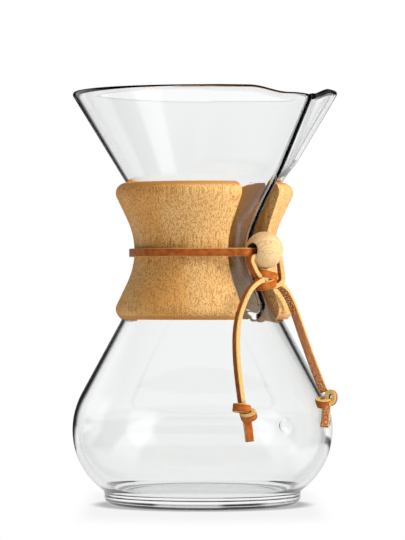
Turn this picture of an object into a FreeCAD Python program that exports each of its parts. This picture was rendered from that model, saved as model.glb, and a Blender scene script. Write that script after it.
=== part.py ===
import FreeCAD, Part
import math
import os

from FreeCAD import Vector

# Pour-over coffee maker, in millimetres.
# +Z is up, the origin is on the vessel's axis in the plane that it stands on,
# and the pouring channel lies along +X.

# Glass vessel, outer sizes
height = 212.0
rim_radius = 67.0
neck_radius = 25.0
neck_level = 133.3
neck_round = 30.5
bulb_radius = 66.8
bulb_level = 38.5
bulb_top_round = 39.5
bulb_bottom_round = 38.0
foot_radius = 50.4
foot_round = 4.6
foot_fillet = 3.0

# Glass thickness
wall = 2.8
base_wall = 4.0
floor_round = 8.0

# Pouring channel: a round-crested ridge on the funnel, hollow inside
crest_stand = 12.0
crest_round = 4.0
crest_neck_radius = 34.5
crest_neck_level = 130.0
crest_neck_round = 26.0
crest_toe_radius = 44.8
crest_toe_level = 101.8
crest_toe_round = 4.0
flank_angle_collar = 32.0
flank_angle_rim = 54.0
lip_drop_setback = 10.0
lip_drop_round = 32.0

# Level button on the bulb, a few degrees round from the channel
button_radius = 4.0
button_level = 42.5
button_turn = -4.5
button_stand = 1.1
button_round = 0.7

# Wooden collar
collar_level = 130.2
collar_height = 70.0
collar_radius = 44.6
collar_lip_round = 5.2
collar_waist_radius = 35.0
collar_waist_share = 0.818  # Of the fullest waist curve that fits between the lips
collar_gap = 25.5

# Leather thong
thong_width = 4.2
thong_thickness = 2.4
mouth_bend = 4.0

# Half knot under the bead: two loops of thong round a core.
# Its place and the routes near it are measured from the bead's centre.
knot_place = (1.35, 0.5, -14.8)
knot_wide = 12.4
knot_deep = 8.6
knot_loop_rise = 2.2
knot_loop_lean = 13.0

# Stopper knots near the ends of the tails.
# Here and in the falls and ends below, X is the stand-off from the glass behind,
# Y the place across and Z the place above or below the bead's centre.
stopper_wide = 11.6
stopper_deep = 7.4
stopper_loop_rise = 1.7
stopper_loop_lean = 16.0
left_stopper_place = (6.08, -30.6, -79.3)
right_stopper_place = (6.41, 28.0, -73.8)

# Routes of the two ends from below the bead's mouths into the half knot
left_strand_route = [
    (2.45, -10.5, -3.0),
    (0.25, -8.9, -7.6),
    (0.55, -6.4, -11.8),
    (1.25, -4.8, -15.2),
]
right_strand_route = [
    (2.45, 10.6, -3.0),
    (0.25, 9.9, -7.8),
    (0.45, 11.4, -11.8),
    (0.85, 10.0, -16.0),
    (1.25, 6.4, -18.2),
    (1.35, 3.2, -18.6),
]

# Tails: their start in the half knot, measured from the bead's centre
left_tail_start = [(3.05, -5.0, -14.8), (3.65, -12.0, -17.6), (2.95, -16.6, -24.6)]
right_tail_start = [(-0.45, 5.4, -14.9), (-1.05, 12.4, -17.3), (0.75, 16.8, -23.6)]

# Tails: their fall in front of the glass to the stopper knots
left_tail_fall = [
    (13.66, -21.0, -33.7),
    (11.18, -24.6, -44.2),
    (7.51, -28.0, -60.8),
    (4.17, -29.9, -77.2),
]
right_tail_fall = [
    (13.46, 19.6, -32.4),
    (10.69, 21.9, -43.6),
    (7.71, 25.0, -57.8),
    (5.36, 28.1, -71.8),
]

# Short cut ends below the stopper knots
left_end_route = [(5.01, -29.8, -82.2), (3.28, -28.2, -88.6), (2.53, -27.2, -94.8)]
right_end_route = [(5.10, 27.2, -76.8), (3.47, 25.4, -83.0), (2.31, 23.9, -89.2)]

# Bead
bead_radius = 9.45
bead_bore_radius = 3.5
bead_mouth_round = 0.6
bead_crest_gap = 1.7

# Clearances between pieces
collar_fit = 0.3
thong_fit = 0.3
strand_fit = 0.1

# Room that cutting tools reach past what they cut
overrun = 6.0


def in_profile(radius, level):
    return Vector(radius, 0, level)


def in_plan(x, y):
    return Vector(x, y, collar_level)


def belt(circles, place, closed=False):
    """Edges of a path that runs tangent to circles given as (a, b, radius).

    A positive radius is an arc whose centre lies left of the path, a negative
    one an arc whose centre lies right of it, and zero is a plain corner.
    """
    ring = circles + circles[:1] if closed else circles
    normals = []
    straight = []
    for (a0, b0, r0), (a1, b1, r1) in zip(ring, ring[1:]):
        span = math.hypot(a1 - a0, b1 - b0)
        along = ((a1 - a0) / span, (b1 - b0) / span)
        # Rounded, so that circles that touch from within do so exactly
        lean = round(max(-1.0, min(1.0, (r0 - r1) / span)), 9)
        side = math.sqrt(1.0 - lean * lean)
        straight.append(side > 0)
        normals.append(
            (lean * along[0] + side * along[1], lean * along[1] - side * along[0])
        )

    def touch(circle, normal):
        a, b, radius = circle
        return place(a + radius * normal[0], b + radius * normal[1])

    edges = []
    for index, normal in enumerate(normals):
        start = touch(ring[index], normal)
        end = touch(ring[index + 1], normal)
        if straight[index]:
            edges.append(Part.LineSegment(start, end).toShape())
        last = index + 1 == len(normals)
        if last and not closed:
            break
        circle = ring[index + 1]
        following = normals[(index + 1) % len(normals)]
        if circle[2] == 0:
            continue
        heading = math.atan2(normal[1], normal[0])
        turn = math.atan2(following[1], following[0]) - heading
        halfway = heading + turn % math.copysign(2 * math.pi, circle[2]) / 2
        middle = touch(circle, (math.cos(halfway), math.sin(halfway)))
        edges.append(Part.Arc(end, middle, touch(circle, following)).toShape())
    return edges


def turned(edges):
    """Solid of revolution about Z inside an outline, closed to the axis."""
    wire = Part.Wire(edges)
    first = wire.OrderedVertexes[0].Point
    last = wire.OrderedVertexes[-1].Point
    corners = [last, Vector(0, 0, last.z), Vector(0, 0, first.z), first]
    closing = [Part.LineSegment(a, b).toShape() for a, b in zip(corners, corners[1:]) if a != b]
    face = Part.Face(Part.Wire(wire.Edges + closing))
    return face.revolve(Vector(0, 0, 0), Vector(0, 0, 1), 360)


def above_rim():
    """Where the funnel's outer line stands at the top of the cutting tools."""
    fillet_height = height - neck_level
    fillet_reach = neck_radius + neck_round - rim_radius
    span = math.hypot(fillet_reach, fillet_height)
    lean = math.asin(neck_round / span) - math.atan2(fillet_reach, fillet_height)
    return rim_radius + overrun * math.tan(lean), height + overrun


def vessel_circles(offset):
    """Circles that the vessel's outline runs along, from the bulb to the rim."""
    top_radius, top_level = above_rim()
    return [
        (bulb_radius - bulb_bottom_round, bulb_level, bulb_bottom_round + offset),
        (bulb_radius - bulb_top_round, bulb_level, bulb_top_round + offset),
        (neck_radius + neck_round, neck_level, offset - neck_round),
        (top_radius, top_level, offset),
    ]


def vessel_outline():
    """Side view of the glass, from the middle of its base to above the rim."""
    fillet_reach = foot_radius + foot_fillet - (bulb_radius - bulb_bottom_round)
    fillet_drop = math.sqrt((bulb_bottom_round + foot_fillet) ** 2 - fillet_reach**2)
    foot = [
        (0, 0, 0),
        (foot_radius - foot_round, foot_round, foot_round),
        (foot_radius + foot_fillet, bulb_level - fillet_drop, -foot_fillet),
    ]
    return belt(foot + vessel_circles(0), in_profile)


def vessel_inside():
    bowl_round = bulb_bottom_round - wall
    floor_drop = bulb_level - base_wall - floor_round
    floor_reach = math.sqrt((bowl_round - floor_round) ** 2 - floor_drop**2)
    floor = [
        (0, base_wall, 0),
        (bulb_radius - bulb_bottom_round + floor_reach, base_wall + floor_round, floor_round),
    ]
    return turned(belt(floor + vessel_circles(-wall), in_profile))


def crest_wire():
    """Side view of the channel's crest, from inside the shoulder to above the rim."""
    top_radius, top_level = above_rim()
    toe = (crest_toe_radius - crest_toe_round, crest_toe_level, crest_toe_round)
    neck = (crest_neck_radius + crest_neck_round, crest_neck_level, -crest_neck_round)
    return Part.Wire(
        belt(
            [
                (toe[0] - 2 * crest_toe_round, toe[1] - 3 * crest_toe_round, 0),
                toe,
                neck,
                (top_radius + crest_stand, top_level, 0),
            ],
            in_profile,
        )
    )


def reach(wire, level):
    """Distance of a side view's line from the axis at a height."""
    ray = Part.makeLine(Vector(0, 0, level), Vector(2 * rim_radius, 0, level))
    return wire.distToShape(ray)[1][0][0].x


def flank_angle(level):
    collar_top = collar_level + collar_height / 2
    rise = max(0.0, (level - collar_top) / (height - collar_top))
    return math.radians(flank_angle_collar + rise * (flank_angle_rim - flank_angle_collar))


def channel_section(wire, level, offset):
    """Level section of the ridge: a round tip and two flanks, closed inside the wall."""
    centre = reach(wire, level) - crest_round
    tip = crest_round + offset
    angle = flank_angle(level)
    across = (math.sin(angle), math.cos(angle))
    foot = centre * across[0] + tip

    def mirrored(x, y):
        return Vector(x, y, level), Vector(x, -y, level)

    foot_left, foot_right = mirrored(foot * across[0], foot * across[1])
    tip_left, tip_right = mirrored(centre + tip * across[0], tip * across[1])
    crest = Vector(centre + tip, 0, level)
    return Part.Wire(
        [
            Part.LineSegment(foot_left, tip_left).toShape(),
            Part.Arc(tip_left, crest, tip_right).toShape(),
            Part.LineSegment(tip_right, foot_right).toShape(),
            Part.LineSegment(foot_right, foot_left).toShape(),
        ]
    )


def channel(offset):
    """The ridge, as its outer form or, with a negative offset, its hollow."""
    wire = crest_wire()
    bottom = wire.BoundBox.ZMin
    top = height + overrun
    steps = round((top - bottom) / crest_toe_round)
    levels = [bottom + (top - bottom) * step / steps for step in range(steps + 1)]
    sections = [channel_section(wire, level, offset) for level in levels]
    return Part.makeLoft(sections, True, False)


def rim_cut():
    """Everything above the rim, which falls away along the channel's lip."""
    lip_start = rim_radius - lip_drop_setback
    lip_end = lip_start + 0.9 * lip_drop_round
    far = max(rim_radius + 3 * crest_stand, lip_end) + overrun

    def on_lip(x):
        drop = lip_drop_round - math.sqrt(lip_drop_round**2 - (x - lip_start) ** 2)
        return Vector(x, -far, height - drop)

    middle = on_lip((lip_start + lip_end) / 2)
    flat_start = Vector(-far, -far, height)
    flat_end = Vector(lip_start, -far, height)
    low_end = Vector(far, -far, on_lip(lip_end).z)
    high_end = Vector(far, -far, height + 2 * overrun)
    high_start = Vector(-far, -far, height + 2 * overrun)
    outline = Part.Wire(
        [
            Part.LineSegment(flat_start, flat_end).toShape(),
            Part.Arc(flat_end, middle, on_lip(lip_end)).toShape(),
            Part.LineSegment(on_lip(lip_end), low_end).toShape(),
            Part.LineSegment(low_end, high_end).toShape(),
            Part.LineSegment(high_end, high_start).toShape(),
            Part.LineSegment(high_start, flat_start).toShape(),
        ]
    )
    return Part.Face(outline).extrude(Vector(0, 2 * far, 0))


def level_button():
    """Round boss on the bulb, below the channel."""
    drop = button_level - bulb_level
    surface = bulb_radius - bulb_top_round + math.sqrt(bulb_top_round**2 - drop**2)
    root = surface - wall / 2
    boss = Part.makeCylinder(
        button_radius, button_stand + wall / 2, Vector(root, 0, button_level), Vector(1, 0, 0)
    )
    rim = [edge for edge in boss.Edges if edge.BoundBox.XMin > surface]
    button = boss.makeFillet(button_round, rim)
    return button.rotate(Vector(0, 0, 0), Vector(0, 0, 1), button_turn)


def glass_vessel():
    outside = turned(vessel_outline()).fuse(channel(0))
    inside = vessel_inside().fuse(channel(-wall))
    glass = outside.cut(inside).cut(rim_cut())
    return glass.fuse(level_button()).removeSplitter()


def waist_round(lip_centre):
    """Side radius of the collar's waist; at a share of 1 it would run into both lips."""
    rise = collar_height / 2 - collar_lip_round
    flare = lip_centre - collar_waist_radius
    fullest = (flare**2 + rise**2 - collar_lip_round**2) / (2 * (flare + collar_lip_round))
    return collar_waist_share * fullest


def collar_half(side):
    """One half of the turned collar, on the side of Y that side gives."""
    bottom = collar_level - collar_height / 2
    top = collar_level + collar_height / 2
    lip_centre = collar_radius - collar_lip_round
    curve = waist_round(lip_centre)
    outline = belt(
        [
            (0, bottom, 0),
            (lip_centre, bottom + collar_lip_round, collar_lip_round),
            (collar_waist_radius + curve, collar_level, -curve),
            (lip_centre, top - collar_lip_round, collar_lip_round),
            (0, top, 0),
        ],
        in_profile,
    )
    wood = turned(outline)
    glass = turned(belt(vessel_circles(collar_fit), in_profile))
    reach = 2 * collar_radius
    low_side = collar_gap / 2 if side > 0 else -reach - collar_gap / 2
    block = Part.makeBox(
        2 * reach, reach, collar_height + 2 * overrun, Vector(-reach, low_side, bottom - overrun)
    )
    return wood.cut(glass).common(block)


def bead_place():
    """Centre of the bead, which lies against the channel's crest."""
    return Vector(crest_neck_radius + bead_crest_gap + bead_radius, 0, collar_level)


def bead():
    centre = bead_place()
    ball = Part.makeSphere(bead_radius, centre)
    bore = Part.makeCylinder(
        bead_bore_radius, 4 * bead_radius, centre - Vector(0, 2 * bead_radius, 0), Vector(0, 1, 0)
    )
    drilled = ball.cut(bore)
    mouths = [edge for edge in drilled.Edges if edge.BoundBox.YLength < bead_mouth_round]
    mouths = [edge for edge in mouths if edge.Length > bead_bore_radius]
    return drilled.makeFillet(bead_mouth_round, mouths)


def from_bead(points):
    """Places measured from the bead's centre, in the vessel's frame."""
    return [bead_place() + Vector(*point) for point in points]


def from_glass(points):
    """Places in front of the glass: stand-off along X, place across, level from the bead."""
    outline = Part.Wire(vessel_outline())
    places = []
    for stand, across, rise in points:
        out = reach(outline, bead_place().z + rise)
        places.append(
            Vector(math.sqrt(out**2 - across**2) + stand, across, bead_place().z + rise)
        )
    return places


def mouth_reach():
    """How far the edge of the bead's bore stands from the bead's centre."""
    return math.sqrt(bead_radius**2 - bead_bore_radius**2)


def tie_band():
    """The thong round the collar's waist and through the inner half of the bore."""
    groove = collar_waist_radius + thong_fit + thong_thickness / 2
    strand = bead_place().x - (thong_thickness + strand_fit) / 2
    bend_place = mouth_reach() + thong_fit

    def loop(offset):
        edges = belt(
            [
                (0, 0, groove + offset),
                (strand - mouth_bend, -bend_place, mouth_bend + offset),
                (strand - mouth_bend, bend_place, mouth_bend + offset),
            ],
            in_plan,
            closed=True,
        )
        return Part.Face(Part.Wire(edges)).extrude(Vector(0, 0, thong_width))

    band = loop(thong_thickness / 2).cut(loop(-thong_thickness / 2))
    band.translate(Vector(0, 0, -thong_width / 2))
    return band


def route_wire(name, points):
    """Straight runs joined by tangent arcs as large as the runs allow."""
    edges = []
    radii = []
    start = points[0]
    for before, corner, after in zip(points, points[1:], points[2:]):
        back = before - corner
        ahead = after - corner
        shorter = min(back.Length, ahead.Length)
        half_turn = (math.pi - back.getAngle(ahead)) / 2
        radius = 0.45 * shorter / math.tan(half_turn)
        trim = radius * math.tan(half_turn)
        back.normalize()
        ahead.normalize()
        inward = (back + ahead).normalize()
        arc_start = corner + back * trim
        arc_end = corner + ahead * trim
        middle = corner + inward * (radius / math.cos(half_turn) - radius)
        edges.append(Part.LineSegment(start, arc_start).toShape())
        edges.append(Part.Arc(arc_start, middle, arc_end).toShape())
        radii.append(round(radius, 1))
        start = arc_end
    edges.append(Part.LineSegment(start, points[-1]).toShape())
    wire = Part.Wire(edges)
    print(name, "length", round(wire.Length, 1), "bend radii", radii)
    return wire


def strap(name, points, facing):
    """Thong along a route; facing is roughly the way its grain side looks at the start."""
    wire = route_wire(name, points)
    start = points[0]
    along = (points[1] - start).normalize()
    across = along.cross(facing).normalize() * (thong_width / 2)
    outward = across.cross(along).normalize() * (thong_thickness / 2)
    corners = [
        start + across + outward,
        start - across + outward,
        start - across - outward,
        start + across - outward,
    ]
    profile = Part.makePolygon(corners + corners[:1])
    shell = Part.BRepOffsetAPI.MakePipeShell(wire)
    shell.add(profile)
    shell.build()
    shell.makeSolid()
    return shell.shape()


def thong_turn(wide, deep):
    """One flat turn of thong round Z: an oval band whose width runs along Z."""

    def oval(shrink):
        ellipse = Part.Ellipse(
            Vector(0, 0, -thong_width / 2), wide / 2 - shrink, deep / 2 - shrink
        )
        return Part.Face(Part.Wire(ellipse.toShape())).extrude(Vector(0, 0, thong_width))

    return oval(0).cut(oval(thong_thickness))


def knot(place, axis, wide_way, wide, deep, rise, lean):
    """Two turns of thong that lean opposite ways round the strand that they hold."""
    core_end = rise + thong_width / 2
    shape = Part.makeCylinder(thong_width / 2, 2 * core_end, Vector(0, 0, -core_end))
    for sign in (1, -1):
        turn = thong_turn(wide, deep)
        turn.Placement = FreeCAD.Placement(
            Vector(0, 0, sign * rise), FreeCAD.Rotation(Vector(0, 1, 0), sign * lean)
        )
        shape = shape.fuse(turn)
    axis = axis.normalize()
    shape.Placement = FreeCAD.Placement(
        place, FreeCAD.Rotation(wide_way, axis.cross(wide_way), axis, "ZXY")
    )
    return shape


def tie_knot():
    """The two ends where they leave the bead, and the half knot that they tie."""
    shape = knot(
        from_bead([knot_place])[0],
        Vector(0, 0, 1),
        Vector(0, 1, 0),
        knot_wide,
        knot_deep,
        knot_loop_rise,
        knot_loop_lean,
    )
    fold_reach = mouth_reach() + thong_fit + thong_thickness / 2
    in_bore = Part.makeBox(
        thong_thickness,
        2 * fold_reach,
        thong_width,
        bead_place() + Vector(strand_fit / 2, -fold_reach, -thong_width / 2),
    )
    shape = shape.fuse(in_bore)
    strands = {"left strand": (-1, left_strand_route), "right strand": (1, right_strand_route)}
    for name, (side, route) in strands.items():
        top = Vector(
            thong_width / 2 + thong_fit,
            side * fold_reach,
            0,
        )
        points = [bead_place() + top] + from_bead(route)
        shape = shape.fuse(strap(name, points, Vector(0, side, 0)))
    return shape


def free_strap(name, points):
    """Thong that hangs along a route with its grain side turned away from the vessel."""
    return strap(name, points, Vector(points[0].x, points[0].y, 0))


def stopper_knot(place, end_route):
    """Overhand knot on a tail, in line with the cut end that follows it."""
    centre = from_glass([place])[0]
    end = from_glass(end_route)
    axis = end[0] - end[-1]
    wide_way = Vector(centre.x, centre.y, 0).cross(axis).normalize()
    return knot(
        centre, axis, wide_way, stopper_wide, stopper_deep, stopper_loop_rise, stopper_loop_lean
    )


left_tail = from_bead(left_tail_start) + from_glass(left_tail_fall)
right_tail = from_bead(right_tail_start) + from_glass(right_tail_fall)

parts = {
    "glass_vessel": glass_vessel(),
    "collar_half_left": collar_half(-1),
    "collar_half_right": collar_half(1),
    "bead": bead(),
    "tie_band": tie_band(),
    "tie_knot": tie_knot(),
    "tie_tail_left": free_strap("left tail", left_tail),
    "tie_tail_right": free_strap("right tail", right_tail),
    "stopper_knot_left": stopper_knot(left_stopper_place, left_end_route),
    "stopper_knot_right": stopper_knot(right_stopper_place, right_end_route),
    "tie_end_left": free_strap("left end", from_glass(left_end_route)),
    "tie_end_right": free_strap("right end", from_glass(right_end_route)),
}

os.makedirs("parts", exist_ok=True)
for name, shape in parts.items():
    print(name, len(shape.Solids), "solid", shape.isValid(), "volume", round(shape.Volume, 1))
    shape.exportStep(f"parts/{name}.step")
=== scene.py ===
import math
from bisect import bisect_left

import bmesh
import bpy
from bpy.props import FloatProperty, FloatVectorProperty, PointerProperty
from mathutils import Matrix, Vector


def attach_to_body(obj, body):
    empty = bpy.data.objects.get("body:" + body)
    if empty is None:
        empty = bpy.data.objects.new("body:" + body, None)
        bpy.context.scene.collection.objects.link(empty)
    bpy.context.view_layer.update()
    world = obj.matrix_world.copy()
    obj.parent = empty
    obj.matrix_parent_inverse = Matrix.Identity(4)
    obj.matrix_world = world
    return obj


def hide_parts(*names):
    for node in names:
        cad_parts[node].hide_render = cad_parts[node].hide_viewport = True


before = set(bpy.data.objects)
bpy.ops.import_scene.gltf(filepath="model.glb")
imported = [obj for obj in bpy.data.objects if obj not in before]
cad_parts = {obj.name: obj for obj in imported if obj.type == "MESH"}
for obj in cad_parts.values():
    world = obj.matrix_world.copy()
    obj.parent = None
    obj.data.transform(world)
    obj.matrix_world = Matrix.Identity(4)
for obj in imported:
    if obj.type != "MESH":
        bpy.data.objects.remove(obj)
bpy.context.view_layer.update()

bl_info = {
    "name": "Pour-over coffee maker",
    "version": (1, 0, 0),
    "blender": (4, 5, 0),
    "location": "View3D > Sidebar > Pour-over",
    "description": "Builds a glass pour-over coffee maker with its wooden collar, thong and bead",
    "category": "Add Mesh",
}

MM = 0.001


# Sizes

def length(name, millimetres, description):
    return FloatProperty(
        name=name, description=description, default=millimetres * MM, unit="LENGTH", precision=4
    )


def angle(name, degrees, description):
    return FloatProperty(
        name=name, description=description, default=math.radians(degrees), subtype="ANGLE"
    )


def colour(name, rgb, description):
    return FloatVectorProperty(
        name=name, description=description, default=rgb, subtype="COLOR", min=0, max=1
    )


class VesselSizes(bpy.types.PropertyGroup):
    """Outer sizes and thickness of the glass."""

    height: length("Height", 212.0, "Height of the rim above the table")
    rim_radius: length("Rim radius", 67.0, "Outer radius at the rim")
    neck_radius: length("Neck radius", 25.0, "Outer radius at the waist of the glass")
    neck_level: length("Neck level", 133.3, "Height of the waist of the glass")
    neck_round: length("Neck round", 30.5, "Radius of the waist's curve in side view")
    bulb_radius: length("Bulb radius", 66.8, "Largest radius of the bulb")
    bulb_level: length("Bulb level", 38.5, "Height at which the bulb is widest")
    bulb_top_round: length("Bulb top round", 39.5, "Side radius of the bulb's upper half")
    bulb_bottom_round: length("Bulb bottom round", 38.0, "Side radius of its lower half")
    foot_radius: length("Foot radius", 50.4, "Radius of the foot ring")
    foot_round: length("Foot round", 4.6, "Rounding of the foot ring")
    foot_fillet: length("Foot fillet", 3.0, "Hollow between foot ring and bulb")
    base_dish: length("Base dish", 1.2, "Rise of the base inside the foot ring")
    wall: length("Wall", 2.8, "Thickness of the wall")
    base_wall: length("Base wall", 6.5, "Thickness of the base")
    floor_round: length("Floor round", 8.0, "Rounding between floor and wall inside")
    rim_bead: length("Rim bead", 1.65, "Radius of the fire-polished rim")
    lean: length("Lean", 2.1, "How much further out the funnel stands on one side")
    lean_level: length("Lean level", 150.0, "Height at which the lean begins")
    lean_rise: length("Lean rise", 25.0, "Height over which it grows to the full")
    button_radius: length("Button radius", 4.2, "Radius of the level button")
    button_level: length("Button level", 42.5, "Height of the level button")
    button_stand: length("Button stand", 1.25, "How far the level button stands out")
    button_turn: angle("Button turn", -4.5, "Place of the level button round from the channel")


class ChannelSizes(bpy.types.PropertyGroup):
    """The ridge in the funnel through which the coffee is poured."""

    crest_stand: length("Crest stand", 12.0, "How far the crest stands off the funnel")
    crest_round: length("Crest round", 4.0, "Radius of the crest in plan")
    neck_radius: length("Crest at the neck", 34.5, "Distance of the crest from the axis")
    neck_level: length("Crest neck level", 130.0, "Height of that place")
    neck_round: length("Crest neck round", 26.0, "Side radius of the crest at the neck")
    toe_radius: length("Toe radius", 44.8, "Distance of the crest's toe from the axis")
    toe_level: length("Toe level", 102.5, "Height of the crest's toe")
    toe_round: length("Toe round", 4.0, "Rounding of the toe")
    flank_collar: angle("Flank at the collar", 33.0, "Turn of the flanks up to the collar's top")
    flank_funnel: angle("Flank in the funnel", 50.0, "What it opens to just above the collar")
    flank_rim: angle("Flank at the rim", 55.0, "What it opens to at the rim")
    cheek_blend: length("Cheek blend", 3.5, "Width of the blend at the neck")
    rim_blend: length("Rim blend", 9.0, "Width of the blend at the rim")
    lip_dip: length("Lip dip", 3.3, "How far the rim dips on both sides of the lip")
    lip_notch: length("Lip notch", 1.0, "How much further it drops at the very lip")
    lip_wide: length("Lip, wide", 27.0, "Distance to each side at which the dip starts")
    lip_narrow: length("Lip, narrow", 8.0, "Distance to each side at which the dip is full")


class CollarSizes(bpy.types.PropertyGroup):
    """The turned wooden collar."""

    level: length("Level", 130.2, "Height of the waist")
    height: length("Height", 70.0, "Height of the collar")
    radius: length("Radius", 44.6, "Radius at both lips")
    lip_round: length("Lip round", 5.2, "Rounding of the lips")
    waist_radius: length("Waist radius", 35.0, "Radius at the waist")
    waist_round: length("Waist round", 37.5, "Side radius of the waist")
    gap: length("Gap", 25.5, "Gap between the two halves")
    fit: length("Fit", 0.3, "Clearance round the glass")
    edge: length("Edge", 0.7, "Rounding of the sawn edges")
    spread: length("Spread", 2.7, "How much further out the right half stands")


class TieSizes(bpy.types.PropertyGroup):
    """The leather thong and the bead that gathers it."""

    width: length("Width", 4.2, "Width of the thong")
    thickness: length("Thickness", 2.4, "Thickness of the thong")
    edge: length("Edge", 0.35, "Wear of the thong's edges")
    fit: length("Fit", 0.3, "Clearance round the collar")
    mouth_bend: length("Mouth bend", 4.0, "Bend of the thong at the bead's mouths")
    bead_radius: length("Bead radius", 9.45, "Radius of the bead")
    bore_radius: length("Bore radius", 3.5, "Radius of the bead's bore")
    bead_reach: length("Bead reach", 45.65, "Distance of the bead's centre from the axis")
    mouth_round: length("Mouth round", 0.6, "Rounding of the bore's mouths")
    knot_wide: length("Knot, wide", 12.4, "Width of the half knot's two turns")
    knot_deep: length("Knot, deep", 8.6, "Depth of the half knot's two turns")
    knot_rise: length("Knot rise", 2.25, "Half the distance between the two turns")
    ease: length("Ease", 0.5, "How much looser the band lies on the right half")
    sag: length("Sag", 0.9, "How far the band sits below the waist")


class Finishes(bpy.types.PropertyGroup):
    """Colours of glass, wood and leather, with the painted shade of the collar's inside and the
    bead's bore.
    """

    collar_light: colour("Collar, light", (0.86, 0.52, 0.20), "Light wood of the collar's grain")
    collar_warm: colour("Collar, warm", (0.80, 0.40, 0.115), "Warmer patches of its figure")
    collar_dark: colour("Collar, dark", (0.44, 0.18, 0.045), "Dark lines in the collar's grain")
    collar_fleck: colour("Collar, flecks", (0.20, 0.075, 0.018), "Short dark flecks")
    # Painted shade: a darker brown put on the collar's inside, sawn faces and lips.
    collar_inside_shade: colour("Collar, inside", (0.55, 0.21, 0.035), "Bore, sawn faces and lips")
    bead_light: colour("Bead, light", (0.82, 0.59, 0.30), "Light bands of the bead's grain")
    bead_dark: colour("Bead, dark", (0.56, 0.32, 0.12), "Dark bands of the bead's grain")
    bead_spot: colour("Bead, spots", (0.36, 0.17, 0.05), "Small spots in the bead")
    # Painted shade: near-black brown put on the wall of the bead's bore.
    bead_bore_shade: colour("Bead, bore", (0.10, 0.035, 0.02), "Wall of the bead's bore")
    grain_side: colour("Leather, grain side", (0.34, 0.070, 0.009), "Smooth side of the thong")
    grain_patch: colour("Leather, patches", (0.50, 0.14, 0.02), "Lighter patches of that side")
    flesh_side: colour("Leather, flesh side", (0.22, 0.045, 0.008), "Rough side of the thong")
    flesh_speck: colour("Leather, specks", (0.86, 0.42, 0.18), "Pale specks of that side")
    cut_edge: colour("Leather, cut edge", (0.66, 0.46, 0.17), "Sliced edges of the thong")
    cut_fibre: colour("Leather, fibres", (0.50, 0.29, 0.08), "Darker fibres of those edges")
    glass_tint: colour("Glass", (0.985, 0.995, 0.99), "Tint of the glass")


class CoffeeMaker(bpy.types.PropertyGroup):
    """Everything that a user would change."""

    vessel: PointerProperty(type=VesselSizes)
    channel: PointerProperty(type=ChannelSizes)
    collar: PointerProperty(type=CollarSizes)
    tie: PointerProperty(type=TieSizes)
    finishes: PointerProperty(type=Finishes)


# Outlines and meshes

def tangent_path(circles, turn_step=0.1, run_step=0.004):
    """Points of a path that runs tangent to circles given as (a, b, radius).

    A positive radius is an arc whose centre lies left of the path, a negative
    one an arc whose centre lies right of it, and zero is a plain corner.
    """
    normals = []
    for (a0, b0, r0), (a1, b1, r1) in zip(circles, circles[1:]):
        span = math.hypot(a1 - a0, b1 - b0)
        along = ((a1 - a0) / span, (b1 - b0) / span)
        lean = max(-1.0, min(1.0, (r0 - r1) / span))
        side = math.sqrt(1.0 - lean * lean)
        normals.append((lean * along[0] + side * along[1], lean * along[1] - side * along[0]))

    def touch(circle, normal):
        return circle[0] + circle[2] * normal[0], circle[1] + circle[2] * normal[1]

    path = [touch(circles[0], normals[0])]
    for index, normal in enumerate(normals):
        start = path[-1]
        end = touch(circles[index + 1], normal)
        run = math.dist(start, end)
        steps = max(1, round(run / run_step))
        if run > 1e-7:
            for step in range(1, steps + 1):
                share = step / steps
                path.append(
                    (start[0] + share * (end[0] - start[0]), start[1] + share * (end[1] - start[1]))
                )
        if index + 1 == len(normals):
            break
        circle = circles[index + 1]
        if circle[2] == 0:
            continue
        heading = math.atan2(normal[1], normal[0])
        following = normals[index + 1]
        turn = math.atan2(following[1], following[0]) - heading
        turn %= math.copysign(2 * math.pi, circle[2])
        steps = max(2, round(abs(turn) / turn_step))
        for step in range(1, steps + 1):
            angle = heading + turn * step / steps
            path.append(touch(circle, (math.cos(angle), math.sin(angle))))
    return path


def outline_in(bm, points):
    """Vertices and edges of an open line."""
    verts = [bm.verts.new(point) for point in points]
    edges = [bm.edges.new(pair) for pair in zip(verts, verts[1:])]
    return verts + edges


def spun(bm, line, steps, axis=(0, 0, 1), centre=(0, 0, 0)):
    """Turns the vertices and edges of an open line into a closed skin of revolution."""
    bmesh.ops.spin(
        bm,
        geom=line,
        cent=centre,
        axis=axis,
        angle=2 * math.pi,
        steps=steps,
        use_merge=True,
        use_duplicate=False,
    )
    bmesh.ops.remove_doubles(bm, verts=bm.verts, dist=1e-6)
    bmesh.ops.recalc_face_normals(bm, faces=bm.faces)


def piece(name, bm, material, body, nodes=()):
    """Makes a finished mesh into a piece that rides on a body."""
    mesh = bpy.data.meshes.new(name)
    bm.to_mesh(mesh)
    bm.free()
    mesh.materials.append(material)
    mesh.polygons.foreach_set("use_smooth", [True] * len(mesh.polygons))
    obj = bpy.data.objects.new(name, mesh)
    bpy.context.collection.objects.link(obj)
    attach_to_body(obj, body)
    if nodes:
        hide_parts(*nodes)
    return obj


# Materials

class Value:
    """A shader socket that takes part in expressions."""

    def __init__(self, tree, socket):
        self.tree = tree
        self.socket = socket

    def maths(self, operation, *others, backwards=False):
        node = self.tree.nodes.new("ShaderNodeMath")
        node.operation = operation
        values = (self, *others)
        for place, value in zip(node.inputs, reversed(values) if backwards else values):
            attach(self.tree, place, value)
        return Value(self.tree, node.outputs[0])

    def __add__(self, other):
        return self.maths("ADD", other)

    __radd__ = __add__

    def __sub__(self, other):
        return self.maths("SUBTRACT", other)

    def __rsub__(self, other):
        return self.maths("SUBTRACT", other, backwards=True)

    def __mul__(self, other):
        return self.maths("MULTIPLY", other)

    __rmul__ = __mul__

    def __truediv__(self, other):
        return self.maths("DIVIDE", other)

    def clamped(self):
        return self.maths("MAXIMUM", 0.0).maths("MINIMUM", 1.0)


def attach(tree, place, value):
    if isinstance(value, Value):
        tree.links.new(value.socket, place)
    else:
        place.default_value = value


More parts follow.
